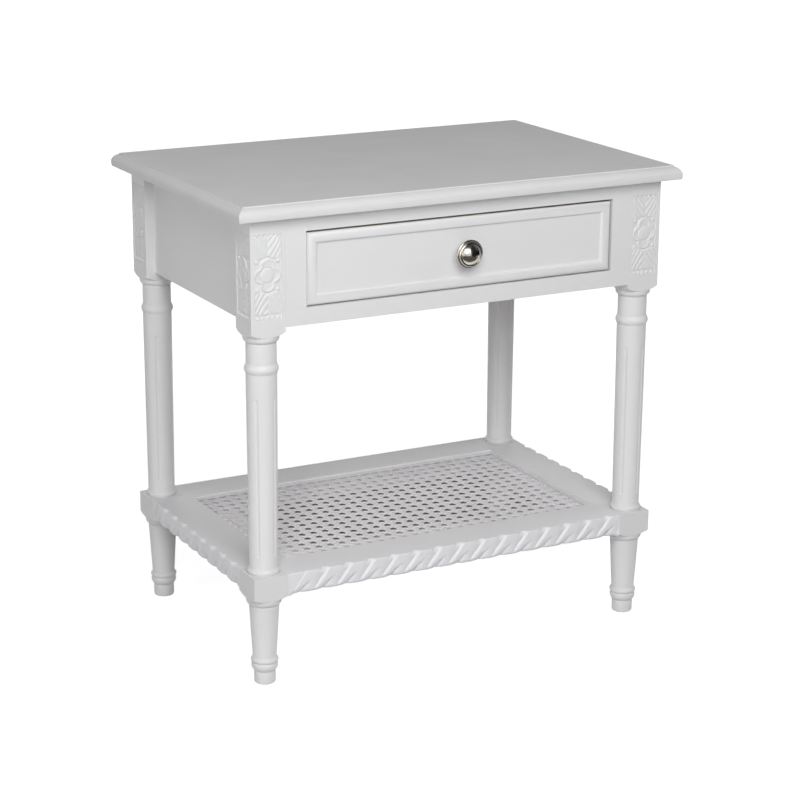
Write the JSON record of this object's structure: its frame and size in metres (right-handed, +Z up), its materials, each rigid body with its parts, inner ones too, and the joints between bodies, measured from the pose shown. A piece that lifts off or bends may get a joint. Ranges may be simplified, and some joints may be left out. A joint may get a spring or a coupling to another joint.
{
  "type": "side table",
  "caption": "White painted side table with a moulded top, a drawer with a round knob, turned and fluted legs with carved blocks, and a low cane shelf with a carved edge.",
  "frame": {"origin": "on the floor, under the middle of the table", "axes": "+X to the right as one faces the drawer, +Y from the front to the back, +Z up"},
  "size_m": [0.6, 0.4093, 0.594],
  "materials": {
    "painted_wood": "satin white paint, brushed, with faint streaks along the grain",
    "painted_cane": "woven cane under thin white paint",
    "bare_wood": "planed softwood, unpainted",
    "nickel": "polished nickel plate",
    "screw_steel": "zinc-plated steel"
  },
  "bodies": {
    "frame": {"apron_back": "painted_wood", "apron_left": "painted_wood", "apron_right": "painted_wood", "cane_panel": "painted_cane", "cane_spline_back": "painted_wood", "cane_spline_front": "painted_wood", "cane_spline_left": "painted_wood", "cane_spline_right": "painted_wood", "corner_block_left": "bare_wood", "corner_block_right": "bare_wood", "drawer_guide_left": "bare_wood", "drawer_guide_right": "bare_wood", "drawer_kicker_left": "bare_wood", "drawer_kicker_right": "bare_wood", "drawer_runner_left": "bare_wood", "drawer_runner_right": "bare_wood", "drawer_stop_left": "bare_wood", "drawer_stop_right": "bare_wood", "front_lower_rail": "painted_wood", "front_stile_left": "painted_wood", "front_stile_right": "painted_wood", "front_upper_rail": "painted_wood", "leg_front_left": "painted_wood", "leg_front_right": "painted_wood", "leg_rear_left": "painted_wood", "leg_rear_right": "painted_wood", "shelf_rail_back": "painted_wood", "shelf_rail_front": "painted_wood", "shelf_rail_left": "painted_wood", "shelf_rail_right": "painted_wood", "top_panel": "painted_wood", "top_screw_front_left": "screw_steel", "top_screw_front_right": "screw_steel", "top_screw_rear_left": "screw_steel", "top_screw_rear_right": "screw_steel"},
    "drawer": {"drawer_back": "bare_wood", "drawer_bottom": "bare_wood", "drawer_front": "painted_wood", "drawer_side_left": "bare_wood", "drawer_side_right": "bare_wood", "knob": "nickel", "knob_screw": "screw_steel"}
  },
  "joints": [
    {"name": "drawer_slide", "type": "slide", "parent": "frame", "child": "drawer", "axis": [0, -1, 0], "range_m": [0, 0.25]}
  ]
}
